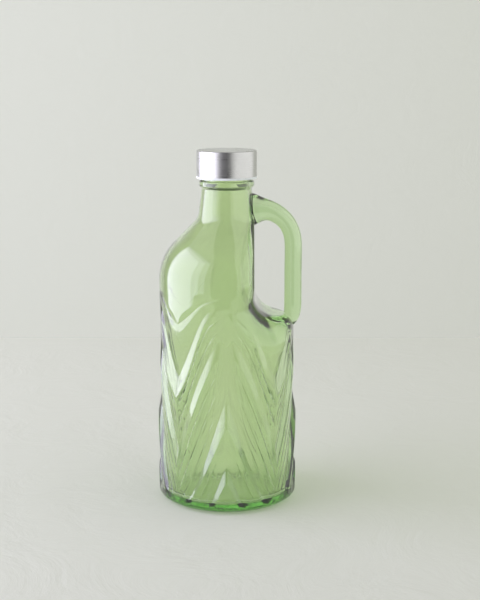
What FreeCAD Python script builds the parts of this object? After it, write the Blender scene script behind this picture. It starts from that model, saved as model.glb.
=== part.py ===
"""A one-litre moulded glass jug bottle with a leaf relief, a loop handle and a steel screw cap.

Millimetres, +Z up. The origin is the centre of the base on the table, and the handle is on the +X side.
Azimuths are in degrees about Z, counted from the handle.
"""
import FreeCAD, Part
import math
import os

# Body
CREST_RADIUS = 48.0        # outside radius over the leaves' raised edges
GROOVE_DEPTH = 3.2         # how far the leaves' sunk edges lie below the crests
PLAIN_DEPTH = 1.4          # the same for the smooth wall between the leaves and the shoulder
HEEL_RADIUS = 7.0          # rounding between side wall and base
WALL = 3.4                 # glass thickness of the side wall, below the smooth wall's surface
BASE_THICKNESS = 6.0       # glass under the inside, at its middle
BEARING_WIDTH = 4.0        # flat ring that the bottle stands on
PUSH_UP = 2.6              # how far the base is hollowed inside that ring
INNER_HEEL_RADIUS = 10.0
PLAIN_RADIUS = CREST_RADIUS - PLAIN_DEPTH

# Neck
NECK_TOP_RADIUS = 17.0
NECK_TAPER = 1.8           # how much wider the neck is at its foot
NECK_LENGTH = 14.1         # straight part above the hollow curve
NECK_ARC = 12.0            # radius of the hollow curve from shoulder to neck
NECK_WALL = 2.6
NECK_FOOT_RADIUS = NECK_TOP_RADIUS + NECK_TAPER

# Shoulder, from the height where it leaves the smooth wall
SHOULDER_START = 153.0
SHOULDER_ARC = 37.0        # radius of its round part
SHOULDER_SLOPE = math.radians(45.0)
ARC_END_Z = SHOULDER_START + SHOULDER_ARC * math.sin(SHOULDER_SLOPE)
ARC_END_RADIUS = PLAIN_RADIUS - SHOULDER_ARC * (1 - math.cos(SHOULDER_SLOPE))
CURVE_RADIUS = NECK_FOOT_RADIUS + NECK_ARC * (1 - math.cos(SHOULDER_SLOPE))
CURVE_Z = ARC_END_Z + (ARC_END_RADIUS - CURVE_RADIUS) / math.tan(SHOULDER_SLOPE)
NECK_FOOT_Z = CURVE_Z + NECK_ARC * math.sin(SHOULDER_SLOPE)
NECK_TOP = NECK_FOOT_Z + NECK_LENGTH

# Hand recess
RECESS_BITE = 0.1          # how far the recess wall cuts into the neck's foot
LEDGE_DROP = 21.5          # from the start of the shoulder down to the ledge
LEDGE_SLOPE = 0.12         # fall of the ledge towards the handle, per millimetre
LEDGE_FILLET = 14.0        # hollow curve between ledge and recess wall
RIM_RADIUS = 9.0           # rounding of the recess's upright edges, and of the ledge under the handle
LEDGE_RIM_RADIUS = 19.0    # rounding of the ledge at the front and back
RECESS_X = NECK_FOOT_RADIUS - RECESS_BITE
LEDGE_Z = SHOULDER_START - LEDGE_DROP

# Finish, the moulded top that the cap screws onto
FINISH_STEP = 0.4          # how far the collar is wider than the neck's top
BEAD_STEP = 1.3            # how far the bead stands out from the collar
BEAD_FLARE = 1.9           # height over which the neck widens to the bead
BEAD_HEIGHT = 3.6
MOUTH_EDGE = 0.9           # rounding of the mouth's rim
FINISH_RADIUS = NECK_TOP_RADIUS + FINISH_STEP
BEAD_RADIUS = FINISH_RADIUS + BEAD_STEP
BORE_RADIUS = NECK_TOP_RADIUS - NECK_WALL
BEAD_LOW = NECK_TOP + BEAD_FLARE
BEAD_HIGH = BEAD_LOW + BEAD_HEIGHT

# Cap, a steel shell over a plastic insert
CAP_GAP = 1.3              # between the bead and the insert's lip
CAP_HEIGHT = 17.4
CAP_SHEET = 0.5            # thickness of the steel
CAP_EDGE = 1.1             # rounding of the cap's top edge
THREAD_ROOM = 1.2          # between the collar and the insert
LINER_WALL = 1.2
LINER_CLEARANCE = 0.1      # between the insert and the steel around it
LINER_LIP = 1.5            # height of the plastic ring that shows below the steel
LINER_LIP_OVERHANG = 0.1
LINER_DISC = 1.8           # plastic between the mouth and the steel
LINER_INNER_RADIUS = FINISH_RADIUS + THREAD_ROOM
LINER_RADIUS = LINER_INNER_RADIUS + LINER_WALL
CAP_RADIUS = LINER_RADIUS + LINER_CLEARANCE + CAP_SHEET
LIP_Z = BEAD_HIGH + CAP_GAP
CAP_Z = LIP_Z + LINER_LIP
CEILING_Z = CAP_Z + CAP_HEIGHT - CAP_SHEET
MOUTH_Z = CEILING_Z - LINER_DISC

# Handle
HANDLE_OVERHANG = 3.3      # how far the grip stands out beyond the crests
HANDLE_DEPTH = 12.0        # grip thickness, seen from the side
HANDLE_WIDTH = 13.6        # grip width across the bottle
HANDLE_BEND = 25.6         # height of the bend from the neck to the straight grip
HANDLE_ROOT_DROP = 0.5     # from the neck's foot down to the middle of the root
HANDLE_ROOT_BITE = 4.5     # how far the root's first section lies inside the neck
HANDLE_X = CREST_RADIUS + HANDLE_OVERHANG - HANDLE_DEPTH / 2

# Leaf relief
LEAF_COLUMNS = 4           # leaf fans around the body
LEAF_GAP = 10.0            # smooth wall between the leaves and the shoulder
LEAF_FIELD = 143.0         # height that the creases below are drawn for


def lerp(a, b, t):
    return a + (b - a) * t


def ease(t):
    """0 for t below 0, 1 for t above 1, and a smooth step between."""
    t = min(1.0, max(0.0, t))
    return t * t * (3 - 2 * t)


def round_meet(a, b, radius):
    """Signed distance of the region where a < 0 and b < 0, its corner rounded to radius."""
    outside = math.hypot(max(a + radius, 0.0), max(b + radius, 0.0))
    return min(max(a, b), -radius) + outside


def shoulder_radius(z):
    """Outside radius of the round shoulder and neck, without the recess."""
    if z <= SHOULDER_START:
        return PLAIN_RADIUS
    if z <= ARC_END_Z:
        return PLAIN_RADIUS - SHOULDER_ARC + math.sqrt(SHOULDER_ARC ** 2 - (z - SHOULDER_START) ** 2)
    if z <= CURVE_Z:
        return ARC_END_RADIUS - (z - ARC_END_Z) * math.tan(SHOULDER_SLOPE)
    if z <= NECK_FOOT_Z:
        return NECK_FOOT_RADIUS + NECK_ARC - math.sqrt(NECK_ARC ** 2 - (NECK_FOOT_Z - z) ** 2)
    return NECK_FOOT_RADIUS - NECK_TAPER * (z - NECK_FOOT_Z) / NECK_LENGTH


def rim_radius(azimuth, z):
    """Rounding of the recess's edge: widest along the ledge's front and back ends."""
    turn = abs((azimuth + 180.0) % 360.0 - 180.0)
    along_ledge = ease((turn - 12.0) / 28.0) * ease((LEDGE_Z + 22.0 - z) / 16.0)
    return lerp(RIM_RADIUS, LEDGE_RIM_RADIUS, along_ledge)


def skin_radius(azimuth, z, inset):
    """Radius of the shoulder with the hand recess, set in by the glass thickness for the inside."""
    body = shoulder_radius(z) - inset
    recess_x = RECESS_X - inset
    rim = rim_radius(azimuth, z) - 0.6 * inset
    if z > SHOULDER_START:
        rim = min(rim, max(0.0, 0.35 * (body - recess_x)))
    fillet = LEDGE_FILLET + inset
    cos_a = math.cos(math.radians(azimuth))

    def outside(r):
        x = r * cos_a
        ledge = LEDGE_Z - inset - LEDGE_SLOPE * (x - RECESS_X)
        recess = round_meet(recess_x - x, ledge - z, fillet)
        return round_meet(r - body, -recess, rim)

    low, high = 0.0, body + 1.0
    for _ in range(40):
        middle = (low + high) / 2
        if outside(middle) < 0:
            low = middle
        else:
            high = middle
    return low


def smooth_loop(points):
    """A closed smooth wire through the points, evenly paced so that a loft pairs them one to one."""
    curve = Part.BSplineCurve()
    steps = [i / len(points) for i in range(len(points) + 1)]
    curve.interpolate(Points=points, PeriodicFlag=True, Parameters=steps)
    return Part.Wire([curve.toShape(0.0, 0.5), curve.toShape(0.5, 1.0)])


def smooth_loft(wires):
    """A solid through closed wires. A highest degree of 4 gives a cubic surface, which doesn't ripple."""
    return Part.makeLoft(wires, True, False, False, 4)


def ring(z, radii):
    """A closed smooth wire at height z, through one radius for each azimuth step from the back round."""
    points = []
    for i, radius in enumerate(radii):
        angle = math.radians(180 + 360 * i / len(radii))
        points.append(FreeCAD.Vector(radius * math.cos(angle), radius * math.sin(angle), z))
    return smooth_loop(points)


def bevel_line(heights, depths):
    """One crease of the leaf pattern: its height and its radius at each station."""
    stretch = (SHOULDER_START - LEAF_GAP) / LEAF_FIELD
    return [(z * stretch, CREST_RADIUS - depth) for z, depth in zip(heights, depths)]


# Half a leaf fan lies between its tip line (station 0) and the line where two fans meet (the last one).
# The other half is its mirror image. Creases run from the tip line down to the meeting line, and each
# bevel lies between a sunk upper crease and the raised lower crease that follows it.
STATIONS = [0.0, 0.2, 0.38, 0.69, 1.0]
SMOOTH = [PLAIN_DEPTH] * 5
RAISED = [0.0] * 5
SUNK = GROOVE_DEPTH
CREASES = [
    [(NECK_TOP, PLAIN_RADIUS)] * 5,
    bevel_line([LEAF_FIELD] * 5, SMOOTH),
    bevel_line([140.5, 138.5, 134.5, 121.0, 106.0], [PLAIN_DEPTH, PLAIN_DEPTH, SUNK / 2, 0.8 * SUNK, SUNK]),
    bevel_line([138.5, 136.0, 131.0, 100.0, 78.0], [PLAIN_DEPTH, 1.2, 0.8, 0.0, 0.0]),
    bevel_line([124.0, 118.0, 108.0, 86.0, 56.5], [1.2, SUNK / 2, 0.7 * SUNK, 0.9 * SUNK, SUNK]),
    bevel_line([108.0, 104.0, 92.0, 63.0, 28.0], RAISED),
    bevel_line([78.0, 59.0, 39.0, 16.0, -2.0], [SUNK, SUNK, 0.9 * SUNK, SUNK / 2, 0.2 * SUNK]),
    bevel_line([60.0, 45.0, 32.0, 12.0, -5.0], RAISED),
    bevel_line([32.0, 14.0, -3.0, -25.0, -45.0], [SUNK, 0.8 * SUNK, SUNK / 2, SUNK / 3, SUNK / 3]),
    bevel_line([22.0, 6.0, -10.0, -32.0, -52.0], RAISED),
    bevel_line([-70.0] * 5, RAISED),
]
CREASE_STEPS = 12


def crease_edge(tip, side, crease):
    """A crease over half a fan: drawn flat through its stations, then wrapped round the wall."""
    flat = Part.BSplineCurve()
    marks = [FreeCAD.Vector(station, z, radius) for station, (z, radius) in zip(STATIONS, crease)]
    flat.interpolate(Points=marks, Parameters=STATIONS)
    points = []
    for i in range(CREASE_STEPS + 1):
        mark = flat.value(i / CREASE_STEPS)
        a = math.radians(tip + side * mark.x)
        points.append(FreeCAD.Vector(mark.z * math.cos(a), mark.z * math.sin(a), mark.y))
    curve = Part.BSplineCurve()
    curve.interpolate(Points=points, Parameters=[i / CREASE_STEPS for i in range(CREASE_STEPS + 1)])
    return curve.toShape()


def leaf_blank():
    """The body's side wall with its leaves, as a solid that still runs past the base and the shoulder."""
    half = 180.0 / LEAF_COLUMNS
    faces = []
    tops = []
    bottoms = []
    for column in range(2 * LEAF_COLUMNS):
        tip = 2 * half * ((column + 1) // 2)
        side = half if column % 2 == 0 else -half
        edges = [crease_edge(tip, side, crease) for crease in CREASES]
        for upper, lower in zip(edges, edges[1:]):
            faces.append(Part.makeRuledSurface(lower, upper))
        tops.append(edges[0])
        bottoms.append(edges[-1])
    for edges in (tops, bottoms):
        faces.append(Part.Face(Part.Wire(Part.__sortEdges__(edges))))
    shell = Part.makeShell(faces)
    shell.sewShape()
    return Part.makeSolid(Part.Shell(shell.Faces))


# Rings of the shoulder's surface: close together where the ledge is nearly level
RING_STEPS = 48
LEDGE_RINGS = [-32.0, -26.0, -21.0, -17.0, -13.5, -10.5, -8.0, -5.5, -3.5, -2.3, -1.1, 0.1, 1.5, 3.5, 6.0, 9.5, 13.5, 18.5]
SHOULDER_RINGS = 11
NECK_RINGS = 5
FLARE = 0.3                # slope at which the trimming surfaces leave the wall
FLARE_LIMIT = 3.0          # how far they get from it
JOIN_OVERLAP = 1.0         # where two parts of the inside meet
JOIN_STEP = 0.05


def ring_heights():
    ledge = [LEDGE_Z + step for step in LEDGE_RINGS]
    shoulder = [lerp(ledge[-1], NECK_FOOT_Z, (i + 1) / SHOULDER_RINGS) for i in range(SHOULDER_RINGS)]
    neck = [lerp(NECK_FOOT_Z, NECK_TOP, (i + 1) / NECK_RINGS) for i in range(NECK_RINGS)]
    return ledge + shoulder + neck


def ring_azimuths():
    return [180.0 + 360.0 * i / RING_STEPS for i in range(RING_STEPS)]


def flare_start(azimuth):
    """Height below which the shoulder surface at this azimuth is the plain wall."""
    low, high = ring_heights()[0], SHOULDER_START + 8.0
    for _ in range(20):
        middle = (low + high) / 2
        if skin_radius(azimuth, middle, 0.0) > PLAIN_RADIUS - 0.2:
            low = middle
        else:
            high = middle
    return low


def shoulder_loft():
    """The shoulder, recess and neck as a solid that flares out past the plain wall at its foot."""
    starts = [flare_start(a) for a in ring_azimuths()]
    rings = []
    for z in ring_heights():
        radii = []
        for azimuth, start in zip(ring_azimuths(), starts):
            flare = FLARE_LIMIT * (1 - math.exp(-FLARE * max(0.0, start - z) / FLARE_LIMIT))
            radii.append(skin_radius(azimuth, max(z, start), 0.0) + flare)
        rings.append(ring(z, radii))
    return smooth_loft(rings)


def revolved(corners):
    """A solid turned about Z from a closed outline of (radius, height, rounding) corners."""
    edges = []
    last_end = None
    first_start = None
    count = len(corners)
    for i, (r, z, rounding) in enumerate(corners):
        here = FreeCAD.Vector(r, 0, z)
        before = FreeCAD.Vector(corners[i - 1][0], 0, corners[i - 1][1]) - here
        after = FreeCAD.Vector(corners[(i + 1) % count][0], 0, corners[(i + 1) % count][1]) - here
        before.normalize()
        after.normalize()
        half = before.getAngle(after) / 2
        reach = rounding / math.tan(half)
        start, end = here + before * reach, here + after * reach
        if last_end is None:
            first_start = start
        else:
            edges.append(Part.LineSegment(last_end, start).toShape())
        if rounding:
            inward = (before + after).normalize()
            middle = here + inward * (rounding / math.sin(half) - rounding)
            edges.append(Part.Arc(start, middle, end).toShape())
        last_end = end
    edges.append(Part.LineSegment(last_end, first_start).toShape())
    face = Part.Face(Part.Wire(edges))
    return face.revolve(FreeCAD.Vector(0, 0, 0), FreeCAD.Vector(0, 0, 1), 360)


def heel_trim():
    """What is cut away round the heel and under the base, with the push-up inside the bearing ring."""
    below = -SHOULDER_START
    far = 1.5 * CREST_RADIUS
    flare_z = 3 * HEEL_RADIUS
    bearing_inner = CREST_RADIUS - HEEL_RADIUS - BEARING_WIDTH
    return revolved([
        (0, below, 0),
        (far, below, 0),
        (far, flare_z, 0),
        (CREST_RADIUS + FLARE * flare_z, flare_z, 0),
        (CREST_RADIUS, 0, 0.85 * HEEL_RADIUS),
        (bearing_inner, 0, 0),
        (bearing_inner - PUSH_UP, PUSH_UP, PUSH_UP / 2),
        (0, PUSH_UP, 0),
    ])


def cavity():
    """The inside of the bottle in three overlapping parts: the body's, the shoulder's and the bore."""
    inner = PLAIN_RADIUS - WALL
    floor_z = PUSH_UP + BASE_THICKNESS
    heights = [z - WALL * ease((SHOULDER_START - z) / LEDGE_DROP) for z in ring_heights()]
    join_z = heights[1]
    body = revolved([
        (0, floor_z, 0),
        (inner, floor_z, INNER_HEEL_RADIUS),
        (inner, join_z + JOIN_OVERLAP, 0),
        (0, join_z + JOIN_OVERLAP, 0),
    ])
    rings = []
    for z in [heights[0] - 4.0] + heights + [NECK_TOP + BEAD_FLARE]:
        thinning = min(1.0, max(0.0, (z - SHOULDER_START) / (NECK_TOP - SHOULDER_START)))
        inset = lerp(WALL, NECK_WALL, thinning)
        narrowing = FLARE * max(0.0, join_z - z) - JOIN_STEP
        rings.append(ring(z, [skin_radius(a, z, inset) - narrowing for a in ring_azimuths()]))
    shoulder = smooth_loft(rings)
    bore_z = NECK_TOP - BEAD_FLARE
    bore = Part.makeCylinder(BORE_RADIUS, MOUTH_Z + 1 - bore_z, FreeCAD.Vector(0, 0, bore_z))
    return [body, shoulder, bore]


def finish():
    """The neck's moulded top: the bead and the plain collar that the cap goes over."""
    inside = BORE_RADIUS - 2
    under = NECK_TOP - 3
    inset = 0.4
    return revolved([
        (inside, under, 0),
        (NECK_TOP_RADIUS - inset, under, 0),
        (NECK_TOP_RADIUS - inset, NECK_TOP - inset, 0),
        (BEAD_RADIUS, BEAD_LOW, 1.2),
        (BEAD_RADIUS, BEAD_HIGH, 1.2),
        (FINISH_RADIUS, BEAD_HIGH, 0.4),
        (FINISH_RADIUS, MOUTH_Z, MOUTH_EDGE),
        (inside, MOUTH_Z, 0),
    ])


# The bend's oval sections: share of the way out from neck to grip, share of the bend's height down,
# heading below level, depth and width
BEND_SECTIONS = [
    (0.0, 0.0, 0, 25.0, 17.0),
    (0.183, 0.004, 2, 22.0, 15.6),
    (0.366, 0.008, 8, 16.6, 14.4),
    (0.534, 0.039, 18, 1.15 * HANDLE_DEPTH, 13.8),
    (0.735, 0.184, 40, 1.05 * HANDLE_DEPTH, HANDLE_WIDTH),
    (0.887, 0.402, 58, 1.01 * HANDLE_DEPTH, HANDLE_WIDTH),
    (0.973, 0.668, 76, HANDLE_DEPTH, HANDLE_WIDTH),
    (1.0, 1.0, 90, HANDLE_DEPTH, HANDLE_WIDTH),
]
# The foot's sections, which taper into the ledge's rim: offset inwards, height over the ledge,
# heading, and shares of the grip's depth and width
FOOT_SECTIONS = [
    (0.0, 4.5, 90, 1.0, 1.0),
    (0.3, -2.0, 92, 0.95, 0.96),
    (0.7, -6.5, 95, 0.75, 0.84),
    (0.9, -9.7, 95, 0.42, 0.59),
]


def handle_sections():
    root_x = NECK_TOP_RADIUS - HANDLE_ROOT_BITE
    root_z = NECK_FOOT_Z - HANDLE_ROOT_DROP
    sections = []
    for out, down, heading, depth, width in BEND_SECTIONS:
        sections.append((lerp(root_x, HANDLE_X, out), root_z - HANDLE_BEND * down, heading, depth, width))
    grip_top = root_z - HANDLE_BEND
    grip_foot = LEDGE_Z + FOOT_SECTIONS[0][1]
    for share in (1 / 3, 2 / 3):
        sections.append((HANDLE_X, lerp(grip_top, grip_foot, share), 90, HANDLE_DEPTH, HANDLE_WIDTH))
    for inwards, rise, heading, depth, width in FOOT_SECTIONS:
        size = (depth * HANDLE_DEPTH, width * HANDLE_WIDTH)
        sections.append((HANDLE_X - inwards, LEDGE_Z + rise, heading, *size))
    return sections


def handle():
    wires = []
    for x, z, heading, depth, width in handle_sections():
        a = math.radians(heading)
        across = FreeCAD.Vector(math.sin(a), 0, math.cos(a))
        points = []
        for i in range(16):
            turn = 2 * math.pi * i / 16
            point = FreeCAD.Vector(x, 0, z) + across * (depth / 2 * math.cos(turn))
            points.append(point + FreeCAD.Vector(0, width / 2 * math.sin(turn), 0))
        wires.append(smooth_loop(points))
    return smooth_loft(wires)


def bottle():
    foot_z = ring_heights()[0]
    outside = Part.makeCylinder(1.5 * CREST_RADIUS, NECK_TOP + 1 - foot_z, FreeCAD.Vector(0, 0, foot_z))
    body = leaf_blank().cut(heel_trim()).cut(outside.cut(shoulder_loft()))
    body = body.fuse([handle(), finish()])
    for hollow in cavity():
        body = body.cut(hollow)
    return body


def cap():
    """The steel shell of the cap."""
    inner = CAP_RADIUS - CAP_SHEET
    top = CEILING_Z + CAP_SHEET
    return revolved([
        (0, top, 0),
        (0, CEILING_Z, 0),
        (inner, CEILING_Z, CAP_EDGE - CAP_SHEET),
        (inner, CAP_Z, 0),
        (CAP_RADIUS, CAP_Z, 0),
        (CAP_RADIUS, top, CAP_EDGE),
    ])


def cap_liner():
    """The plastic insert that carries the cap's thread and shows as a lip below the steel."""
    lip = CAP_RADIUS + LINER_LIP_OVERHANG
    return revolved([
        (0, CEILING_Z, 0),
        (0, MOUTH_Z, 0),
        (LINER_INNER_RADIUS, MOUTH_Z, 0),
        (LINER_INNER_RADIUS, LIP_Z, 0),
        (lip, LIP_Z, 0.3),
        (lip, CAP_Z, 0),
        (LINER_RADIUS, CAP_Z, 0),
        (LINER_RADIUS, CEILING_Z, CAP_EDGE - CAP_SHEET),
    ])


def main():
    os.makedirs("parts", exist_ok=True)
    for name, make in (("bottle", bottle), ("cap", cap), ("cap_liner", cap_liner)):
        shape = make()
        solids = shape.Solids
        if len(solids) == 1:
            shape = solids[0]
        shape.exportStep("parts/" + name + ".step")
        print(name, shape.ShapeType, "valid", shape.isValid(), "volume", round(shape.Volume, 1))


main()
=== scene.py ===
"""Looks of the green glass bottle: a moulded glass body, a brushed steel cap and its plastic insert."""
import math

import bpy
import numpy as np
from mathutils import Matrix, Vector


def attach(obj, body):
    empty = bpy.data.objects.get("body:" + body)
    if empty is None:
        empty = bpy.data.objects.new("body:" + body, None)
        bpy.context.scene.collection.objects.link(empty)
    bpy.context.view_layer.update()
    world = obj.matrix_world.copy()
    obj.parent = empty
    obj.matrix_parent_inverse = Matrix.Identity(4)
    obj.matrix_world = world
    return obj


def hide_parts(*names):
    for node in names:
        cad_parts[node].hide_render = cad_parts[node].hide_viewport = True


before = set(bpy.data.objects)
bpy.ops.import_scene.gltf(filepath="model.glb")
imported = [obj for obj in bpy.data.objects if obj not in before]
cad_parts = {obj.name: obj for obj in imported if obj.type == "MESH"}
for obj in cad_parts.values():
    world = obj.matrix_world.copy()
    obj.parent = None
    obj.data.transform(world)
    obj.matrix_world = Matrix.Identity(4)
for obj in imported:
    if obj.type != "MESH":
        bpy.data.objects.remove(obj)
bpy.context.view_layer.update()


# Shape of the glass: lengths in metres, azimuths in degrees about Z from the handle

CREST_RADIUS = 0.048
PLAIN_RADIUS = 0.0466
HEEL_RADIUS = 0.007
HEEL_FLARE = 0.25
HEEL_BLEND = 0.0008
BEARING_RADIUS = CREST_RADIUS - HEEL_RADIUS
BEARING_INSIDE = 0.037
PUSH_UP = 0.0006
WALL = 0.0034
FLOOR_Z = 0.0051
INNER_HEEL_RADIUS = 0.0055
NECK_TOP_RADIUS = 0.017
NECK_FOOT_RADIUS = 0.0188
NECK_LENGTH = 0.0141
NECK_ARC = 0.012
NECK_WALL = 0.0026
SHOULDER_START = 0.153
SHOULDER_ARC = 0.037
SHOULDER_SLOPE = math.radians(45)
ARC_END_Z = SHOULDER_START + SHOULDER_ARC * math.sin(SHOULDER_SLOPE)
ARC_END_RADIUS = PLAIN_RADIUS - SHOULDER_ARC * (1 - math.cos(SHOULDER_SLOPE))
CURVE_RADIUS = NECK_FOOT_RADIUS + NECK_ARC * (1 - math.cos(SHOULDER_SLOPE))
CURVE_Z = ARC_END_Z + (ARC_END_RADIUS - CURVE_RADIUS) / math.tan(SHOULDER_SLOPE)
NECK_FOOT_Z = CURVE_Z + NECK_ARC * math.sin(SHOULDER_SLOPE)
NECK_TOP = NECK_FOOT_Z + NECK_LENGTH

FINISH_RADIUS = 0.0174
BEAD_RADIUS = 0.0187
BORE_RADIUS = 0.0144
BEAD_HEIGHT = 0.0036
BEAD_LOW = NECK_TOP + 0.0019
BEAD_HIGH = BEAD_LOW + BEAD_HEIGHT
BEAD_ROUNDING = 0.0012
NECK_CHAMFER = 0.0004
COLLAR_ROUNDING = 0.0004
MOUTH_ROUNDING = 0.0009
MOUTH_Z = 0.2386

# The hand recess: a flat wall over a sloping ledge. Its rim is rounder along the ledge's two sides.
RECESS_X = 0.0187
LEDGE_DROP = 0.0215         # below the shoulder's start
LEDGE_Z = SHOULDER_START - LEDGE_DROP
LEDGE_SLOPE = 0.12
LEDGE_FILLET = 0.014
RIM_RADIUS = 0.009
LEDGE_RIM_RADIUS = 0.019
RIM_WIDENS_AT = 12          # degrees from the handle
RIM_WIDENS_OVER = 28
RIM_NARROWS_ABOVE = 0.022   # height over the ledge from which the rim has its plain rounding
RIM_NARROWS_OVER = 0.016
RIM_INSIDE_SHARE = 0.6      # the inside's rounding is smaller by this share of the glass thickness
RIM_DEPTH_SHARE = 0.35      # the rounding's limit on the shoulder, as a share of the recess's depth
SEARCH_MARGIN = 0.001
SEARCH_STEPS = 26           # halvings, which bring the search far below a micrometre


def ease(t):
    """0 for t below 0, 1 for t above 1, and a smooth step between."""
    t = np.clip(t, 0.0, 1.0)
    return t * t * (3 - 2 * t)


def round_meet(a, b, radius):
    """Signed distance of the region where a < 0 and b < 0, its corner rounded to radius."""
    outside = np.hypot(np.maximum(a + radius, 0), np.maximum(b + radius, 0))
    return np.minimum(np.maximum(a, b), -radius) + outside


def through(knots, values, at):
    """A natural cubic spline through values at the knots."""
    knots = np.asarray(knots, float)
    values = np.asarray(values, float)
    gaps = np.diff(knots)
    slopes = np.diff(values) / gaps
    count = len(knots)
    matrix = np.eye(count)
    right = np.zeros(count)
    for i in range(1, count - 1):
        matrix[i, i - 1:i + 2] = gaps[i - 1], 2 * (gaps[i - 1] + gaps[i]), gaps[i]
        right[i] = 6 * (slopes[i] - slopes[i - 1])
    bend = np.linalg.solve(matrix, right)
    i = np.clip(np.searchsorted(knots, at, side="right") - 1, 0, count - 2)
    t = at - knots[i]
    gap = gaps[i]
    start = slopes[i] - gap * (2 * bend[i] + bend[i + 1]) / 6
    return values[i] + t * (start + t * (bend[i] / 2 + t * (bend[i + 1] - bend[i]) / (6 * gap)))


def shoulder_radius(z):
    """Outside radius of the round shoulder and neck, without the recess."""
    arc = PLAIN_RADIUS - SHOULDER_ARC + np.sqrt(np.maximum(SHOULDER_ARC ** 2 - (z - SHOULDER_START) ** 2, 0))
    cone = ARC_END_RADIUS - (z - ARC_END_Z) * math.tan(SHOULDER_SLOPE)
    curve = NECK_FOOT_RADIUS + NECK_ARC - np.sqrt(np.maximum(NECK_ARC ** 2 - (NECK_FOOT_Z - z) ** 2, 0))
    neck = NECK_FOOT_RADIUS - (NECK_FOOT_RADIUS - NECK_TOP_RADIUS) * (z - NECK_FOOT_Z) / NECK_LENGTH
    spans = [z <= SHOULDER_START, z <= ARC_END_Z, z <= CURVE_Z, z <= NECK_FOOT_Z]
    return np.select(spans, [PLAIN_RADIUS + 0 * z, arc, cone, curve], neck)


def rim_radius(azimuth, z, recess_depth, inset):
    """Rounding of the recess's rim, which tightens on the shoulder as the recess runs out."""
    turn = np.abs((azimuth + 180) % 360 - 180)
    beside = ease((turn - RIM_WIDENS_AT) / RIM_WIDENS_OVER)
    along_ledge = beside * ease((LEDGE_Z + RIM_NARROWS_ABOVE - z) / RIM_NARROWS_OVER)
    rim = RIM_RADIUS + (LEDGE_RIM_RADIUS - RIM_RADIUS) * along_ledge - RIM_INSIDE_SHARE * inset
    tight = np.minimum(rim, np.maximum(0, RIM_DEPTH_SHARE * recess_depth))
    return np.where(z > SHOULDER_START, tight, rim)


def skin_radius(azimuth, z, inset):
    """Radius of the shoulder with the hand recess, set in by the glass thickness for the inside."""
    body = shoulder_radius(z) - inset
    recess_x = RECESS_X - inset
    rim = rim_radius(azimuth, z, body - recess_x, inset)
    low = np.zeros(np.broadcast(azimuth, z).shape)
    high = body + SEARCH_MARGIN + low
    for _ in range(SEARCH_STEPS):
        middle = (low + high) / 2
        x = middle * np.cos(np.radians(azimuth))
        ledge = LEDGE_Z - inset - LEDGE_SLOPE * (x - RECESS_X)
        recess = round_meet(recess_x - x, ledge - z, LEDGE_FILLET + inset)
        inside = round_meet(middle - body, -recess, rim) < 0
        low = np.where(inside, middle, low)
        high = np.where(inside, high, middle)
    return low


# The leaf relief: half a fan runs from its tip line (station 0) to the line where two fans meet (1).
# Each crease has its height and its depth below the crests at every station. A vein is a narrow bevel
# between a sunk upper crease and the raised crease under it.
FAN = 90
STATIONS = [0.0, 0.2, 0.38, 0.69, 1.0]
PLAIN = 0.0014
SUNK = 0.0032
CREASE_ROUND = 0.0004
TIP_ROUND = 0.02
CREASES = [
    ([0.1500, 0.1500, 0.1500, 0.1500, 0.1500], [PLAIN] * 5),
    ([0.1405, 0.1395, 0.1360, 0.1140, 0.0920], [0.0015, 0.0016, 0.0020, 0.7 * SUNK, 0.8 * SUNK]),
    ([0.1385, 0.1360, 0.1310, 0.1000, 0.0780], [0.0016, 0.0016, 0.0012, 0, 0]),
    ([0.1240, 0.1150, 0.1030, 0.0770, 0.0440], [0.0019, 0.0023, 0.8 * SUNK, 0.65 * SUNK, 0.8 * SUNK]),
    ([0.1080, 0.1040, 0.0920, 0.0630, 0.0280], [0.0022, 0.0015, 0.0004, 0, 0]),
    ([0.0780, 0.0575, 0.0380, 0.0115, -0.0080], [SUNK, SUNK, 0.88 * SUNK, 0.58 * SUNK, 0.4 * SUNK]),
    ([0.0600, 0.0430, 0.0280, 0.0055, -0.0120], [0] * 5),
    ([0.0320, 0.0140, -0.0030, -0.0250, -0.0450], [SUNK, 0.8 * SUNK, SUNK / 2, SUNK / 3, SUNK / 3]),
    ([0.0220, 0.0060, -0.0100, -0.0320, -0.0520], [0] * 5),
    ([-0.0700] * 5, [0] * 5),
]

# Fine grooves between the creases: the crease above, how far down to the next one it lies, its depth
GROOVES = [
    (0, 0.38, 0.0005),
    (2, 0.20, 0.0007),
    (2, 0.62, 0.0006),
    (4, 0.20, 0.0007),
    (4, 0.48, 0.0006),
    (4, 0.76, 0.0004),
    (6, 0.30, 0.0008),
    (6, 0.64, 0.0004),
]
GROOVE_HALF_WIDTH = 0.0008
GROOVE_START = 0.1          # station where the grooves begin
GROOVE_START_FADE = 0.25
GROOVE_END = 1.02           # and where they would end, just past the meeting line
GROOVE_END_FADE = 0.15

RELIEF_START_Z = 0.0055     # the relief fades in above this height
RELIEF_FADE = 0.009
SHOULDER_FADE = 0.0025      # and fades out as the skin leaves the plain radius by this much
BACK_EDGE = 1.6             # how soon the far side begins, where the relief is weaker and starts higher
BACK_SOFTENING = 0.45
BACK_RISE = 0.007


def station(azimuth):
    """How far a column lies from its fan's tip line (0) to the meeting line (1), with both lines rounded."""
    half = FAN / 2
    share = np.abs((azimuth + half) % FAN - half) / half
    near_tip = np.hypot(share, TIP_ROUND) - TIP_ROUND
    near_meeting = 1 - np.hypot(1 - share, TIP_ROUND) + TIP_ROUND
    return near_tip + (near_meeting - near_tip) * ease(share)


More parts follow.
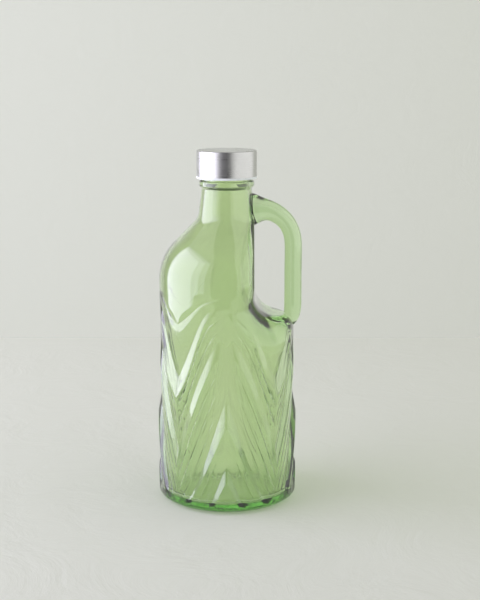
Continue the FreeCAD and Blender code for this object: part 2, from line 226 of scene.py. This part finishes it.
def creases_at(share):
    """Heights and depths of the creases and of the fine grooves' three lines each, top first."""
    heights = [through(STATIONS, z, share) for z, _ in CREASES]
    depths = [np.maximum(through(STATIONS, d, share), 0) for _, d in CREASES]
    strength = ease((share - GROOVE_START) / GROOVE_START_FADE) * ease((GROOVE_END - share) / GROOVE_END_FADE)
    lines = list(zip(heights, depths))
    for above, part, groove_depth in reversed(GROOVES):
        gap = heights[above + 1] - heights[above]
        z = heights[above] + gap * part
        steps = []
        for offset, cut in ((GROOVE_HALF_WIDTH, 0), (0, 1), (-GROOVE_HALF_WIDTH, 0)):
            share_down = (z + offset - heights[above]) / gap
            plain = depths[above] + (depths[above + 1] - depths[above]) * share_down
            steps.append((z + offset, plain + strength * cut * groove_depth))
        lines[above + 1:above + 1] = steps
    return np.array([z for z, _ in lines]), np.array([d for _, d in lines])


def relief_depth(heights, depths, z):
    """Depth below the crests at heights z (rows), with each crease slightly rounded."""
    slopes = (depths[:-1] - depths[1:]) / (heights[:-1] - heights[1:])
    depth = depths[-1] + slopes[-1] * (z - heights[-1])
    for k in range(1, len(heights) - 1):
        t = z - heights[k]
        rounded = (t + CREASE_ROUND) ** 2 / (4 * CREASE_ROUND)
        ramp = np.where(np.abs(t) < CREASE_ROUND, rounded, np.maximum(t, 0))
        depth = depth + (slopes[k - 1] - slopes[k]) * ramp
    t = np.maximum(z - heights[0], 0)
    return depth - slopes[0] * t


def wall_radius(azimuth, z):
    """Outside radius with the leaves, the shoulder and recess, and the heel."""
    skin = skin_radius(azimuth, z, 0)
    heights, depths = creases_at(station(azimuth))
    back = ease(BACK_EDGE * np.sin(np.radians(azimuth)))
    strength = ease((z - RELIEF_START_Z - BACK_RISE * back) / RELIEF_FADE) * (1 - BACK_SOFTENING * back)
    leaves = PLAIN - relief_depth(heights, depths, z) * strength
    radius = skin + leaves * ease(1 - (PLAIN_RADIUS - skin) / SHOULDER_FADE)
    drop = np.maximum(HEEL_RADIUS - z, 0)
    heel = BEARING_RADIUS + np.sqrt(np.maximum(HEEL_RADIUS ** 2 - drop ** 2, 0)) + HEEL_FLARE * z
    share = np.clip(0.5 + 0.5 * (heel - radius) / HEEL_BLEND, 0, 1)
    return heel + (radius - heel) * share - HEEL_BLEND * share * (1 - share)


# Columns and rows of the outside's mesh. Columns are closest at the fans' tip and meeting lines.
COLUMNS_PER_HALF = 30
CROWDING = 0.5
HEEL_ROWS = [0.00004, 0.00018, 0.00040]
LEAF_ROW_STEP = 0.0030
SQUEEZE = 0.006             # stretch at the heel and the ledge into which the rows beyond it are squeezed
UPPER_ROWS = 100
UPPER_START = 0.0006        # height of the upper rows' first one over the leaf field's last
ARC_STEPS = 5
PATH_STEPS = 900            # points that measure a column's outline before its rows are spread

# Where flare_start looks for the height at which a column leaves the plain wall
FLARE_HEIGHTS = np.linspace(0.100, 0.160, 241)
FLARE_TOLERANCE = 0.0002
FLARE_PASSES = 3


def column_azimuths():
    """Azimuths of the outside's columns: each half fan has the same spacing."""
    half = FAN / 2
    t = np.arange(COLUMNS_PER_HALF) / COLUMNS_PER_HALF
    spread = half * (t - CROWDING * np.sin(2 * math.pi * t) / (2 * math.pi))
    return np.concatenate([spread + half * i for i in range(round(360 / half))])


def flare_start(azimuth):
    """Height below which a column is the plain wall, evened out over neighbouring columns."""
    z = FLARE_HEIGHTS[:, None]
    below = skin_radius(azimuth[None, :], z, 0) > PLAIN_RADIUS - FLARE_TOLERANCE
    start = np.where(below.all(axis=0), z[-1], z[np.argmin(below, axis=0), 0])
    start = np.minimum(start, SHOULDER_START)
    for _ in range(FLARE_PASSES):
        start = np.minimum(start, (np.roll(start, 1) + start + np.roll(start, -1)) / 3)
    return start


def leaf_rows(azimuth):
    """Heights of the leaf field's rows (bottom first): along the creases, squeezed at heel and ledge."""
    heights, _ = creases_at(station(azimuth))
    heights = heights[::-1]
    bevel = CREASE_ROUND * np.array([-1.0, 0.0, 1.0])
    rows = [heights[0]]
    for low, high in zip(heights, heights[1:]):
        count = max(1, round(float(np.mean(high - low)) / LEAF_ROW_STEP))
        start = low + (bevel[-1] if rows[1:] else 0)
        end = high + bevel[0]
        rows += [start + (end - start) * i / count for i in range(1, count)]
        rows += [high + step for step in bevel]
    rows = np.array(rows)
    low = SQUEEZE - rows
    rows = np.where(low > 0, SQUEEZE ** 2 / (SQUEEZE + np.maximum(low, 0)), rows)
    bend = flare_start(azimuth) - SQUEEZE
    high = np.maximum(rows - bend, 0)
    return np.where(high > 0, bend + SQUEEZE * high / (SQUEEZE + high), rows)


def even_rows(azimuth, start, end, count, radius_at):
    """Points spread evenly along each column's outline between two heights: radii and heights."""
    share = np.linspace(0, 1, PATH_STEPS)[:, None]
    z = start + (end - start) * share
    r = radius_at(azimuth[None, :], z)
    steps = np.hypot(np.diff(r, axis=0), np.diff(z, axis=0))
    path = np.vstack([np.zeros(len(azimuth)), np.cumsum(steps, axis=0)])
    marks = np.linspace(0, 1, count)
    rows_z = np.empty((count, len(azimuth)))
    for i in range(len(azimuth)):
        rows_z[:, i] = np.interp(marks * path[-1, i], path[:, i], z[:, i])
    return radius_at(azimuth[None, :], rows_z), rows_z


def outline(corners, steps=ARC_STEPS):
    """Points of an open outline of (radius, height, rounding) corners, with arcs at the rounded ones."""
    points = []
    for i, (r, z, rounding) in enumerate(corners):
        if not rounding:
            points.append((r, z))
            continue
        here = Vector((r, z))
        before = (Vector(corners[i - 1][:2]) - here).normalized()
        after = (Vector(corners[i + 1][:2]) - here).normalized()
        half = before.angle(after) / 2
        centre = here + (before + after).normalized() * rounding / math.sin(half)
        start = here + before * rounding / math.tan(half) - centre
        end = here + after * rounding / math.tan(half) - centre
        for j in range(steps + 1):
            arm = start.normalized().slerp(end.normalized(), j / steps) * rounding
            points.append(tuple(centre + arm))
    return points


def closed_tube(name, rings, ends, clockwise=False):
    """A closed mesh from rings of points and a point at each end.

    The rings turn anticlockwise or clockwise as seen from the tube's far end, and the faces look outwards.
    """
    count, columns, _ = rings.shape
    points = [tuple(p) for p in rings.reshape(-1, 3)] + ends
    start = count * columns
    last = start - columns
    faces = []
    for column in range(columns):
        beside = (column + 1) % columns
        a, b = (beside, column) if clockwise else (column, beside)
        faces.append((start, b, a))
        for ring in range(0, last, columns):
            faces.append((ring + a, ring + b, ring + columns + b, ring + columns + a))
        faces.append((last + a, last + b, start + 1))
    mesh = bpy.data.meshes.new(name)
    mesh.from_pydata(points, [], faces)
    return bpy.data.objects.new(name, mesh)


def shell(name, azimuth, radii, heights):
    """A closed mesh from rings of radii and heights about the bottle's axis, first ring lowest."""
    angle = np.radians(azimuth)
    rings = np.stack([radii * np.cos(angle), radii * np.sin(angle), heights], axis=2)
    return closed_tube(name, rings, [(0, 0, heights[0].mean()), (0, 0, heights[-1].mean())])


def rings_of(points, columns):
    """Radii and heights of round rings, one for each (radius, height) point."""
    radii = np.array([[r] * columns for r, _ in points])
    heights = np.array([[z] * columns for _, z in points])
    return radii, heights


def base_outline():
    """The underside: a low push-up, a small step and the flat ring that the bottle rests on.

    Some points lie between the corners, so that the flat stretches aren't made of long thin faces.
    """
    step = outline([(0.030, PUSH_UP, 0), (0.0364, PUSH_UP, 0.0003), (BEARING_INSIDE, 0, 0)])
    return [(0.018, PUSH_UP), *step, (0.039, 0), (BEARING_RADIUS, 0)]


def finish_outline():
    """The bead, the collar that the cap hides, and the mouth, up to a point over the bore."""
    return outline([
        (NECK_TOP_RADIUS + NECK_CHAMFER, NECK_TOP + NECK_CHAMFER, 0),
        (BEAD_RADIUS, BEAD_LOW, BEAD_ROUNDING),
        (BEAD_RADIUS, BEAD_HIGH, BEAD_ROUNDING),
        (FINISH_RADIUS, BEAD_HIGH, COLLAR_ROUNDING),
        (FINISH_RADIUS, MOUTH_Z - 0.006, 0),
        (FINISH_RADIUS, MOUTH_Z, MOUTH_ROUNDING),
        (BORE_RADIUS - 0.003, MOUTH_Z, 0),
    ])


def outer_glass():
    """The bottle's outside as a closed solid, without handle and inside."""
    azimuth = column_azimuths()
    base = rings_of(base_outline(), len(azimuth))
    heel_z = np.array(HEEL_ROWS)[:, None] + 0 * azimuth
    leaf_z = np.vstack([heel_z, leaf_rows(azimuth)])
    leaf_r = wall_radius(azimuth[None, :], leaf_z)
    upper_r, upper_z = even_rows(azimuth, leaf_z[-1] + UPPER_START, NECK_TOP, UPPER_ROWS, wall_radius)
    top = rings_of(finish_outline(), len(azimuth))
    radii = np.vstack([base[0], leaf_r, upper_r, top[0]])
    heights = np.vstack([base[1], leaf_z, upper_z, top[1]])
    return shell("bottle_glass", azimuth, radii, heights)


INNER_COLUMNS = 144
INNER_TURN = 0.7            # degrees, so that the inside's columns don't line up with the outside's
INNER_WALL_ROWS = [0.025, 0.040, 0.060, 0.080, 0.090]
INNER_UPPER_START = 0.0950
INNER_UPPER_ROWS = 80
INNER_ARC_STEPS = 10
BORE_LOW = NECK_TOP + 0.002
BORE_HIGH = MOUTH_Z + 0.001     # past the mouth, so that the cut goes through


def inner_radius(azimuth, z):
    """Radius of the inside above its straight wall, with more glass under the ledge and less at the neck."""
    thinning = np.clip((z - SHOULDER_START) / (NECK_TOP - SHOULDER_START), 0, 1)
    outside_z = z + WALL * ease((SHOULDER_START - z) / LEDGE_DROP)
    return skin_radius(azimuth, outside_z, WALL + (NECK_WALL - WALL) * thinning)


def inside_space():
    """The room inside the bottle as a closed solid, cut away from the glass."""
    azimuth = np.arange(INNER_COLUMNS) * 360 / INNER_COLUMNS + INNER_TURN
    inner = PLAIN_RADIUS - WALL
    corners = [(0.016, FLOOR_Z, 0), (inner, FLOOR_Z, INNER_HEEL_RADIUS)]
    corners += [(inner, z, 0) for z in INNER_WALL_ROWS]
    low = rings_of(outline(corners, INNER_ARC_STEPS), INNER_COLUMNS)
    upper = even_rows(azimuth, INNER_UPPER_START + 0 * azimuth, NECK_TOP, INNER_UPPER_ROWS, inner_radius)
    bore = rings_of([(BORE_RADIUS, BORE_LOW), (BORE_RADIUS, BORE_HIGH)], INNER_COLUMNS)
    radii = np.vstack([low[0], upper[0], bore[0]])
    heights = np.vstack([low[1], upper[1], bore[1]])
    return shell("inside_space", azimuth, radii, heights)


# Handle: share of the way out from neck to grip, share of the bend's height down, heading below level
# in degrees, depth and width of each oval section
HANDLE_X = 0.0453
HANDLE_DEPTH = 0.012
HANDLE_WIDTH = 0.0136
HANDLE_BEND = 0.0256
HANDLE_ROOT_X = 0.0125
HANDLE_ROOT_Z = NECK_FOOT_Z - 0.0005
HANDLE_RINGS = 110
HANDLE_COLUMNS = 48
BEND_SECTIONS = [
    (0.0, 0.0, 0, 0.0250, 0.0170),
    (0.183, 0.004, 2, 0.0220, 0.0156),
    (0.366, 0.008, 8, 0.0166, 0.0144),
    (0.534, 0.039, 18, 0.0138, 0.0138),
    (0.735, 0.184, 40, 0.0126, HANDLE_WIDTH),
    (0.887, 0.402, 58, 0.0121, HANDLE_WIDTH),
    (0.973, 0.668, 76, HANDLE_DEPTH, HANDLE_WIDTH),
    (1.0, 1.0, 90, HANDLE_DEPTH, HANDLE_WIDTH),
]

# Its foot: distance inwards from the grip, height above the ledge, heading, and shares of depth and width
FOOT_SECTIONS = [
    (0.0, 0.0045, 90, 1.0, 1.0),
    (0.0003, -0.0020, 92, 0.95, 0.96),
    (0.0007, -0.0065, 95, 0.75, 0.84),
    (0.0009, -0.0097, 95, 0.42, 0.59),
]


def handle_sections():
    """The handle's oval sections from the neck down: x, z, heading, depth and width."""
    sections = []
    for out, down, heading, depth, width in BEND_SECTIONS:
        x = HANDLE_ROOT_X + (HANDLE_X - HANDLE_ROOT_X) * out
        sections.append((x, HANDLE_ROOT_Z - HANDLE_BEND * down, heading, depth, width))
    grip_top = HANDLE_ROOT_Z - HANDLE_BEND
    grip_foot = LEDGE_Z + FOOT_SECTIONS[0][1]
    for share in (1 / 3, 2 / 3):
        z = grip_top + (grip_foot - grip_top) * share
        sections.append((HANDLE_X, z, 90, HANDLE_DEPTH, HANDLE_WIDTH))
    for inwards, rise, heading, depth, width in FOOT_SECTIONS:
        size = (depth * HANDLE_DEPTH, width * HANDLE_WIDTH)
        sections.append((HANDLE_X - inwards, LEDGE_Z + rise, heading, *size))
    return sections


def handle_tube():
    """The solid handle, whose ends lie inside the neck and the body."""
    sections = handle_sections()
    knots = np.arange(len(sections))
    fine = np.linspace(0, len(sections) - 1, HANDLE_RINGS)
    x, z, heading, depth, width = (through(knots, values, fine) for values in zip(*sections))
    turn = np.arange(HANDLE_COLUMNS) * 2 * math.pi / HANDLE_COLUMNS
    across = depth[:, None] / 2 * np.cos(turn)
    px = x[:, None] + np.sin(np.radians(heading))[:, None] * across
    pz = z[:, None] + np.cos(np.radians(heading))[:, None] * across
    py = width[:, None] / 2 * np.sin(turn)
    rings = np.stack([px, py, pz], axis=2)
    return closed_tube("handle_tube", rings, [(x[0], 0, z[0]), (x[-1], 0, z[-1])], clockwise=True)


def joined_mesh(base, tools):
    """The mesh of base after each (tool, operation) has been joined to it or cut from it."""
    scene = bpy.context.scene
    for tool, operation in tools:
        joining = base.modifiers.new(tool.name, "BOOLEAN")
        joining.object = tool
        joining.operation = operation
        joining.solver = "MANIFOLD"
        scene.collection.objects.link(tool)
    scene.collection.objects.link(base)
    bpy.context.view_layer.update()
    mesh = bpy.data.meshes.new_from_object(base.evaluated_get(bpy.context.evaluated_depsgraph_get()))
    base.modifiers.clear()
    for tool, _ in tools:
        bpy.data.objects.remove(tool)
    return mesh


SHARP_ANGLE = math.radians(40)


def bottle_glass(material):
    """The whole glass piece: outside and handle joined, less the inside."""
    glass = outer_glass()
    glass.data = joined_mesh(glass, [(handle_tube(), "UNION"), (inside_space(), "DIFFERENCE")])
    glass.data.shade_smooth()
    glass.data.set_sharp_from_angle(angle=SHARP_ANGLE)
    glass.data.materials.clear()
    glass.data.materials.append(material)
    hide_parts("bottle")
    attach(glass, "root")


# Materials

def new_material(name):
    """A node material with its node tree and its Principled node."""
    material = bpy.data.materials.new(name)
    material.use_nodes = True
    tree = material.node_tree
    return material, tree, tree.nodes["Principled BSDF"]


def object_place(tree):
    return tree.nodes.new("ShaderNodeTexCoord").outputs["Object"]


def noise(tree, place, scale, detail=2.0, roughness=0.5, distortion=0.0):
    """Fractal noise, from 0 to 1 and mostly near 0.5."""
    node = tree.nodes.new("ShaderNodeTexNoise")
    node.inputs["Scale"].default_value = scale
    node.inputs["Detail"].default_value = detail
    node.inputs["Roughness"].default_value = roughness
    node.inputs["Distortion"].default_value = distortion
    tree.links.new(place, node.inputs["Vector"])
    return node.outputs[0]


def stretch(tree, value, source, target):
    """A value between the two of source, moved in step to between the two of target."""
    node = tree.nodes.new("ShaderNodeMapRange")
    node.inputs["From Min"].default_value, node.inputs["From Max"].default_value = source
    node.inputs["To Min"].default_value, node.inputs["To Max"].default_value = target
    tree.links.new(value, node.inputs[0])
    return node.outputs[0]


def tones(tree, value, stops):
    """A colour that changes between two stops, each a position and a colour."""
    node = tree.nodes.new("ShaderNodeValToRGB")
    for element, (position, colour) in zip(node.color_ramp.elements, stops):
        element.position = position
        element.color = (*colour, 1)
    tree.links.new(value, node.inputs[0])
    return node.outputs[0]


def add_bump(tree, surface, height, strength, distance):
    """Roughen the surface's normal by the height, distance metres for a full step."""
    node = tree.nodes.new("ShaderNodeBump")
    node.inputs["Strength"].default_value = strength
    node.inputs["Distance"].default_value = distance
    tree.links.new(height, node.inputs["Height"])
    tree.links.new(node.outputs[0], surface.inputs["Normal"])


def let_shadows_through(tree, surface, output, colour):
    """Let the lamps shine through the surface, tinted by colour, so that its shadow is light and green."""
    path = tree.nodes.new("ShaderNodeLightPath")
    clear = tree.nodes.new("ShaderNodeBsdfTransparent")
    clear.inputs["Color"].default_value = (*colour, 1)
    mix = tree.nodes.new("ShaderNodeMixShader")
    tree.links.new(path.outputs["Is Shadow Ray"], mix.inputs[0])
    tree.links.new(surface.outputs[0], mix.inputs[1])
    tree.links.new(clear.outputs[0], mix.inputs[2])
    tree.links.new(mix.outputs[0], output.inputs["Surface"])


def green_glass():
    """Tinted moulded glass, slightly wavy and hazy, and deeper green where it is thick."""
    material, tree, surface = new_material("green_glass")
    output = tree.nodes["Material Output"]
    surface.inputs["Base Color"].default_value = (0.83, 0.915, 0.67, 1)
    surface.inputs["Transmission Weight"].default_value = 1.0
    surface.inputs["IOR"].default_value = 1.5
    surface.inputs["Coat Weight"].default_value = 1.0
    surface.inputs["Coat Roughness"].default_value = 0.08
    place = object_place(tree)
    haze = noise(tree, place, 90.0, detail=4.0)
    rough = stretch(tree, haze, (0.35, 0.75), (0.008, 0.035))
    tree.links.new(rough, surface.inputs["Roughness"])
    add_bump(tree, surface, noise(tree, place, 55.0, detail=1.5), 0.25, 0.0004)
    let_shadows_through(tree, surface, output, (0.975, 0.975, 0.945))

    tint = tree.nodes.new("ShaderNodeVolumeAbsorption")
    tint.inputs["Color"].default_value = (0.25, 0.80, 0.0, 1)
    tint.inputs["Density"].default_value = 22.0
    tree.links.new(tint.outputs[0], output.inputs["Volume"])
    return material


def radius_and_height(tree, place):
    """A place whose X is the distance from the bottle's axis, so that noise over it makes rings."""
    parts = tree.nodes.new("ShaderNodeSeparateXYZ")
    across = tree.nodes.new("ShaderNodeCombineXYZ")
    radius = tree.nodes.new("ShaderNodeVectorMath")
    radius.operation = "LENGTH"
    rings = tree.nodes.new("ShaderNodeCombineXYZ")
    tree.links.new(place, parts.inputs[0])
    tree.links.new(parts.outputs["X"], across.inputs["X"])
    tree.links.new(parts.outputs["Y"], across.inputs["Y"])
    tree.links.new(across.outputs[0], radius.inputs[0])
    tree.links.new(radius.outputs["Value"], rings.inputs["X"])
    tree.links.new(parts.outputs["Z"], rings.inputs["Z"])
    return rings.outputs[0]


def brushed_steel():
    """Steel brushed round the cap: fine lines that follow its side in height and its top in rings."""
    material, tree, surface = new_material("cap_steel")
    surface.inputs["Metallic"].default_value = 1.0
    surface.inputs["Anisotropic"].default_value = 0.35
    place = object_place(tree)
    brushing = noise(tree, radius_and_height(tree, place), 2600.0, detail=3.0)
    wear = noise(tree, place, 120.0, detail=5.0)
    both = tree.nodes.new("ShaderNodeMath")
    both.operation = "ADD"
    tree.links.new(brushing, both.inputs[0])
    tree.links.new(wear, both.inputs[1])
    rough = stretch(tree, both.outputs[0], (0.7, 1.3), (0.24, 0.34))
    tree.links.new(rough, surface.inputs["Roughness"])
    colour = tones(tree, brushing, [(0.3, (0.59, 0.59, 0.58)), (0.7, (0.65, 0.65, 0.64))])
    tree.links.new(colour, surface.inputs["Base Color"])
    add_bump(tree, surface, brushing, 0.06, 0.0001)
    return material


def milky_plastic():
    """Pale polypropylene with a faint cloudiness and a fine moulded grain."""
    material, tree, surface = new_material("liner_plastic")
    surface.inputs["Subsurface Weight"].default_value = 0.3
    surface.inputs["Subsurface Radius"].default_value = (0.002, 0.002, 0.002)
    place = object_place(tree)
    cloud = noise(tree, place, 150.0, detail=3.0)
    colour = tones(tree, cloud, [(0.35, (0.80, 0.84, 0.84)), (0.65, (0.88, 0.92, 0.92))])
    tree.links.new(colour, surface.inputs["Base Color"])
    grain = noise(tree, place, 2500.0)
    tree.links.new(stretch(tree, grain, (0.0, 1.0), (0.3, 0.5)), surface.inputs["Roughness"])
    add_bump(tree, surface, grain, 0.15, 0.0001)
    return material


def paint(node, material):
    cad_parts[node].data.materials.clear()
    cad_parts[node].data.materials.append(material)


bottle_glass(green_glass())
paint("cap", brushed_steel())
paint("cap_liner", milky_plastic())


# Stage: a plain table with a wall well behind it, whose foot the table's edge hides

TABLE_LEFT = -0.52          # past this edge the softboxes light the glass from below the table's level
TABLE_RIGHT = 1.2
TABLE_FRONT = -0.58
TABLE_BACK = 0.48
TABLE_Z = -0.0002           # a hair below the base, so that the faces don't coincide
WALL_Y = 1.5
WALL_FOOT = -1.0
FAR = 3.0


def matt(name, colour):
    """Plain matt paint."""
    material, _, surface = new_material(name)
    surface.inputs["Base Color"].default_value = (*colour, 1)
    surface.inputs["Roughness"].default_value = 0.9
    surface.inputs["Specular IOR Level"].default_value = 0.2
    return material


def plaster(name, colour):
    """Matt paint on a roughly trowelled ground."""
    material = matt(name, colour)
    tree = material.node_tree
    strokes = noise(tree, object_place(tree), 14.0, detail=9.0, roughness=0.62, distortion=1.6)
    add_bump(tree, tree.nodes["Principled BSDF"], strokes, 0.35, 0.004)
    return material


def sweep(name, side, left, right, material):
    """A sheet whose side outline of (y, z) points runs along X."""
    mesh = bpy.data.meshes.new(name)
    points = [(x, y, z) for y, z in side for x in (left, right)]
    faces = [(2 * i, 2 * i + 1, 2 * i + 3, 2 * i + 2) for i in range(len(side) - 1)]
    mesh.from_pydata(points, [], faces)
    for face in mesh.polygons:
        face.use_smooth = True
    mesh.materials.append(material)
    sheet = bpy.data.objects.new(name, mesh)
    bpy.context.scene.collection.objects.link(sheet)
    return sheet


table_side = [(TABLE_FRONT, TABLE_Z), (TABLE_BACK, TABLE_Z)]
sweep("stage_table", table_side, TABLE_LEFT, TABLE_RIGHT, plaster("table_paint", (0.67, 0.685, 0.602)))
wall_side = [(WALL_Y, WALL_FOOT), (WALL_Y, FAR)]
sweep("stage_wall", wall_side, -FAR, FAR, plaster("wall_paint", (0.62, 0.64, 0.555)))

# A dark card behind and above the camera, which the steel and the glass mirror. The camera and the
# light that comes through the glass don't see it.
CARD_LEFT = -0.62
CARD_RIGHT = 0.38
card_side = [(-1.25, -0.6), (-1.25, 1.3), (-0.8, 2.0), (-0.1, 2.3)]
card = sweep("stage_card", card_side, CARD_LEFT, CARD_RIGHT, matt("card_paint", (0.06, 0.06, 0.06)))
card.visible_transmission = False
card.visible_camera = False


# Light. Glass and steel mirror the panels, which can't be seen directly or through the glass.

KEY_COLOUR = (0.97, 0.93, 1.18)
WHITE = (1, 1, 1)
PANEL_DROP = 0.1            # a panel faces a point this far below its own height

# Degrees to the right of the camera's side, distance, middle's height, width and height, radiance
SOFTBOXES = [
    (-78, 1.30, 0.50, (2.3, 2.40), 0.94),
    (-83, 1.28, 0.47, (1.8, 2.05), 0.98),
    (-88, 1.26, 0.44, (1.3, 1.70), 1.10),
]
REFLECTOR = (76, 1.4, 0.80, (3.0, 1.7), 0.45)


def panel(name, turn, distance, middle_z, size, radiance, colour):
    """A rectangular area light that faces the bottle's axis."""
    data = bpy.data.lights.new(name, "AREA")
    data.shape = "RECTANGLE"
    data.size, data.size_y = size
    data.energy = radiance * math.pi * size[0] * size[1]
    data.color = colour
    a = math.radians(turn)
    place = Vector((distance * math.sin(a), -distance * math.cos(a), middle_z))
    light = bpy.data.objects.new(name, data)
    light.location = place
    light.rotation_mode = "QUATERNION"
    light.rotation_quaternion = (Vector((0, 0, middle_z - PANEL_DROP)) - place).to_track_quat("-Z", "Y")
    light.visible_camera = False
    light.visible_transmission = False
    bpy.context.scene.collection.objects.link(light)


for i, softbox in enumerate(SOFTBOXES):
    panel(f"softbox_{i}", *softbox, KEY_COLOUR)
panel("reflector", *REFLECTOR, WHITE)

world = bpy.data.worlds.new("room")
world.use_nodes = True
world.node_tree.nodes["Background"].inputs["Color"].default_value = (0.9, 0.9, 0.88, 1)
world.node_tree.nodes["Background"].inputs["Strength"].default_value = 0.82
bpy.context.scene.world = world
bpy.context.scene.view_settings.view_transform = "Standard"


# Camera

CAMERA_PLACE = (0.009, -0.8106, 0.2998)
CAMERA_PITCH = 0.197        # radians below the horizon
CAMERA_LENS = 72.0
camera = bpy.data.objects.new("camera", bpy.data.cameras.new("camera"))
camera.data.lens = CAMERA_LENS
camera.location = CAMERA_PLACE
camera.rotation_euler = (math.pi / 2 - CAMERA_PITCH, 0, 0)
bpy.context.scene.collection.objects.link(camera)
bpy.context.scene.camera = camera
